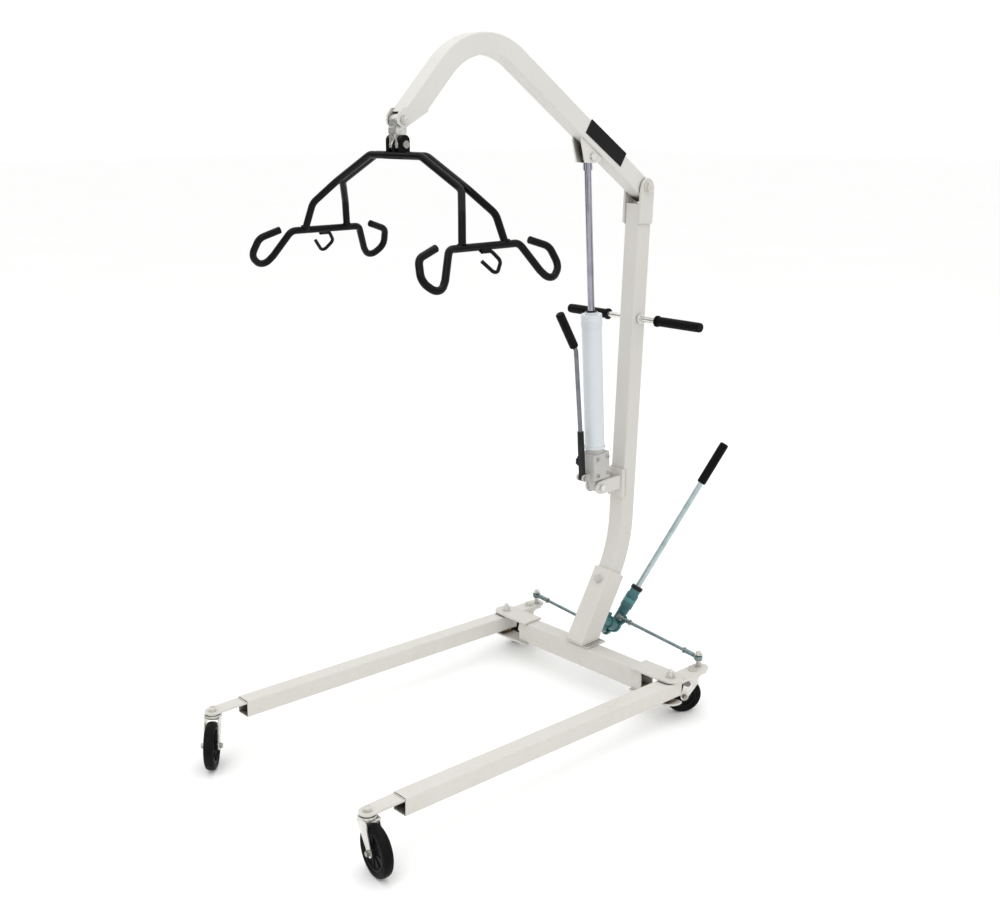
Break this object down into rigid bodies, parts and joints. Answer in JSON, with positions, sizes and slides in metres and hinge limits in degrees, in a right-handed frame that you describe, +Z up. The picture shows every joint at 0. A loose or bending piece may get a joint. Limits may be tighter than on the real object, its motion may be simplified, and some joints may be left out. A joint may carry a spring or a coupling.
{
  "type": "patient lift hoist",
  "caption": "Mobile patient lift hoist: hydraulic pump raises a bent boom on a leaning mast, with a sling cradle, spreading legs worked by a lever, and swivel casters.",
  "frame": {"origin": "centre of the hoist's plan at rest, at floor level under the wheels", "axes": "+Z up; the legs and the boom point to -Y; +X is the side the shift lever leans to at rest"},
  "size_m": [0.7976, 1.534, 1.7703],
  "materials": {
    "ivory_coat": "satin",
    "steel_zinc": "satin",
    "bright_chrome": "polished",
    "teal_coat": "satin",
    "grey_cast": "matt",
    "grey_tube": "satin",
    "black_coat": "gloss",
    "black_rubber": "matt",
    "black_tyre": "matt",
    "hub_plastic": "matt",
    "black_plastic": "gloss",
    "white_nylon": "matt",
    "bronze": "satin",
    "grey_plastic": "matt"
  },
  "bodies": {
    "base": {"cross_member": "ivory_coat", "mast_tube": "ivory_coat", "mast_bolts": "steel_zinc", "crank_pivot_bolt": "steel_zinc", "push_handle_bar": "steel_zinc", "push_grips": "black_rubber", "leg_pivot_bolts": "steel_zinc", "leg_pivot_bushes": "bronze"},
    "right_leg": {"leg_right": "ivory_coat", "right_caster_stems": "steel_zinc", "right_tie_rod_stud": "steel_zinc"},
    "left_leg": {"leg_left": "ivory_coat", "left_caster_stems": "steel_zinc", "left_tie_rod_stud": "steel_zinc"},
    "shift_lever": {"crank": "teal_coat", "lever_rod": "bright_chrome", "lever_grip": "black_rubber", "crank_pins": "steel_zinc"},
    "right_rod": {"right_tie_rod": "steel_zinc"},
    "left_rod": {"left_tie_rod": "steel_zinc"},
    "boom": {"boom_arm": "ivory_coat", "boom_pivot_bush": "bronze", "nameplate": "black_plastic", "pump_upper_bolt_ends": "steel_zinc", "tip_bolt": "steel_zinc"},
    "pump": {"pump_body": "grey_cast", "pump_cylinder": "grey_tube", "cylinder_cap": "grey_tube", "pump_handle_pin": "steel_zinc"},
    "ram": {"piston_rod": "bright_chrome", "piston": "steel_zinc", "upper_pump_pin": "steel_zinc"},
    "pump_handle": {"pump_handle_socket": "black_coat", "pump_handle_rod": "ivory_coat", "pump_handle_grip": "black_rubber"},
    "plunger": {"pump_plunger": "steel_zinc"},
    "knob": {"release_knob": "black_plastic"},
    "yoke": {"swivel_yoke": "steel_zinc"},
    "swivel": {"swivel_fork": "steel_zinc", "hub_pin": "steel_zinc", "nylon_washers": "white_nylon"},
    "cradle": {"cradle": "black_coat"},
    "front_right_fork": {"front_right_caster_fork": "steel_zinc", "front_right_axle": "steel_zinc"},
    "front_right_wheel": {"front_right_tyre": "black_tyre", "front_right_wheel_hub": "hub_plastic"},
    "front_left_fork": {"front_left_caster_fork": "steel_zinc", "front_left_axle": "steel_zinc"},
    "front_left_wheel": {"front_left_tyre": "black_tyre", "front_left_wheel_hub": "hub_plastic"},
    "rear_right_fork": {"rear_right_caster_fork": "steel_zinc", "rear_right_axle": "steel_zinc"},
    "rear_right_wheel": {"rear_right_tyre": "black_tyre", "rear_right_wheel_hub": "hub_plastic"},
    "rear_right_pedal": {"rear_right_brake_pedal": "grey_plastic"},
    "rear_left_fork": {"rear_left_caster_fork": "steel_zinc", "rear_left_axle": "steel_zinc"},
    "rear_left_wheel": {"rear_left_tyre": "black_tyre", "rear_left_wheel_hub": "hub_plastic"},
    "rear_left_pedal": {"rear_left_brake_pedal": "grey_plastic"}
  },
  "joints": [
    {"name": "leg_spread", "type": "hinge", "parent": "base", "child": "right_leg", "pos_m": [0.30168, 0.31501, 0], "axis": [0, 0, 1], "range_deg": [0, 12.4]},
    {"name": "left_leg_spread", "type": "hinge", "parent": "base", "child": "left_leg", "pos_m": [-0.34232, 0.31501, 0], "axis": [0, 0, -1], "range_deg": [0, 12.4]},
    {"name": "lever_turn", "type": "hinge", "parent": "base", "child": "shift_lever", "pos_m": [-0.02032, 0.44648, 0.14246], "axis": [0, -0.8572, 0.515], "range_deg": [0, 48.93]},
    {"name": "right_rod_turn", "type": "hinge", "parent": "shift_lever", "child": "right_rod", "pos_m": [0.00076, 0.44945, 0.16876], "axis": [0, -0.8572, 0.515], "range_deg": [-50.64, 0]},
    {"name": "left_rod_turn", "type": "hinge", "parent": "shift_lever", "child": "left_rod", "pos_m": [-0.0414, 0.42465, 0.12749], "axis": [0, -0.8572, 0.515], "range_deg": [-50.64, 0]},
    {"name": "front_right_swivel", "type": "hinge", "parent": "right_leg", "child": "front_right_fork", "pos_m": [0.30168, -0.69798, 0], "axis": [0, 0, 1], "continuous": true},
    {"name": "front_right_roll", "type": "hinge", "parent": "front_right_fork", "child": "front_right_wheel", "pos_m": [0.33917, -0.70419, 0.06], "axis": [0.1633, 0.9866, 0], "continuous": true},
    {"name": "front_left_swivel", "type": "hinge", "parent": "left_leg", "child": "front_left_fork", "pos_m": [-0.34232, -0.69798, 0], "axis": [0, 0, 1], "continuous": true},
    {"name": "front_left_roll", "type": "hinge", "parent": "front_left_fork", "child": "front_left_wheel", "pos_m": [-0.31321, -0.72241, 0.06], "axis": [0.6428, 0.766, 0], "continuous": true},
    {"name": "rear_right_swivel", "type": "hinge", "parent": "right_leg", "child": "rear_right_fork", "pos_m": [0.30168, 0.40702, 0], "axis": [0, 0, 1], "continuous": true},
    {"name": "rear_right_roll", "type": "hinge", "parent": "rear_right_fork", "child": "rear_right_wheel", "pos_m": [0.28791, 0.38736, 0.05], "axis": [0.8192, -0.5736, 0], "continuous": true},
    {"name": "rear_right_brake", "type": "hinge", "parent": "rear_right_fork", "child": "rear_right_pedal", "pos_m": [0.2925, 0.39391, 0.088], "axis": [0.8192, -0.5736, 0], "range_deg": [0, 5]},
    {"name": "rear_left_swivel", "type": "hinge", "parent": "left_leg", "child": "rear_left_fork", "pos_m": [-0.34232, 0.40702, 0], "axis": [0, 0, 1], "continuous": true},
    {"name": "rear_left_roll", "type": "hinge", "parent": "rear_left_fork", "child": "rear_left_wheel", "pos_m": [-0.35609, 0.38736, 0.05], "axis": [0.8192, -0.5736, 0], "continuous": true},
    {"name": "rear_left_brake", "type": "hinge", "parent": "rear_left_fork", "child": "rear_left_pedal", "pos_m": [-0.3515, 0.39391, 0.088], "axis": [0.8192, -0.5736, 0], "range_deg": [0, 5]},
    {"name": "boom_lift", "type": "hinge", "parent": "base", "child": "boom", "pos_m": [-0.02032, 0.50101, 1.396], "axis": [1, 0, 0], "range_deg": [0, 55]},
    {"name": "pump_swing", "type": "hinge", "parent": "base", "child": "pump", "pos_m": [-0.02032, 0.35302, 0.585], "axis": [1, 0, 0], "range_deg": [0, 0.91]},
    {"name": "ram_slide", "type": "slide", "parent": "pump", "child": "ram", "axis": [0, -0.0636, 0.998], "range_m": [-0.20476, 0]},
    {"name": "handle_pump", "type": "hinge", "parent": "pump", "child": "pump_handle", "pos_m": [-0.02032, 0.29801, 0.62], "axis": [1, 0, 0], "range_deg": [0, 35]},
    {"name": "plunger_slide", "type": "slide", "parent": "pump", "child": "plunger", "axis": [0, -0.0636, 0.998], "range_m": [-0.007, 0]},
    {"name": "release_turn", "type": "hinge", "parent": "pump", "child": "knob", "pos_m": [-0.04932, 0.34907, 0.64687], "axis": [1, 0, 0], "range_deg": [0, 90]},
    {"name": "yoke_tilt", "type": "hinge", "parent": "boom", "child": "yoke", "pos_m": [-0.02032, -0.32299, 1.574], "axis": [1, 0, 0], "range_deg": [-55, 0]},
    {"name": "cradle_turn", "type": "hinge", "parent": "yoke", "child": "swivel", "pos_m": [-0.02032, -0.32299, 1.574], "axis": [0, 0, 1], "continuous": true},
    {"name": "cradle_tilt", "type": "hinge", "parent": "swivel", "child": "cradle", "pos_m": [-0.02032, -0.32299, 1.521], "axis": [1, 0, 0], "range_deg": [-25, 25]}
  ],
  "couplings": [
    {"joint": "left_leg_spread", "follows": "leg_spread", "ratio": 1},
    {"joint": "lever_turn", "follows": "leg_spread", "ratio": 3.9459},
    {"joint": "right_rod_turn", "follows": "leg_spread", "ratio": -4.0836},
    {"joint": "left_rod_turn", "follows": "leg_spread", "ratio": -4.0836},
    {"joint": "pump_swing", "follows": "boom_lift", "ratio": 0.016398},
    {"joint": "ram_slide", "follows": "boom_lift", "m_per_rad": -0.2133},
    {"joint": "yoke_tilt", "follows": "boom_lift", "ratio": -1},
    {"joint": "plunger_slide", "follows": "handle_pump", "m_per_rad": -0.011459}
  ]
}
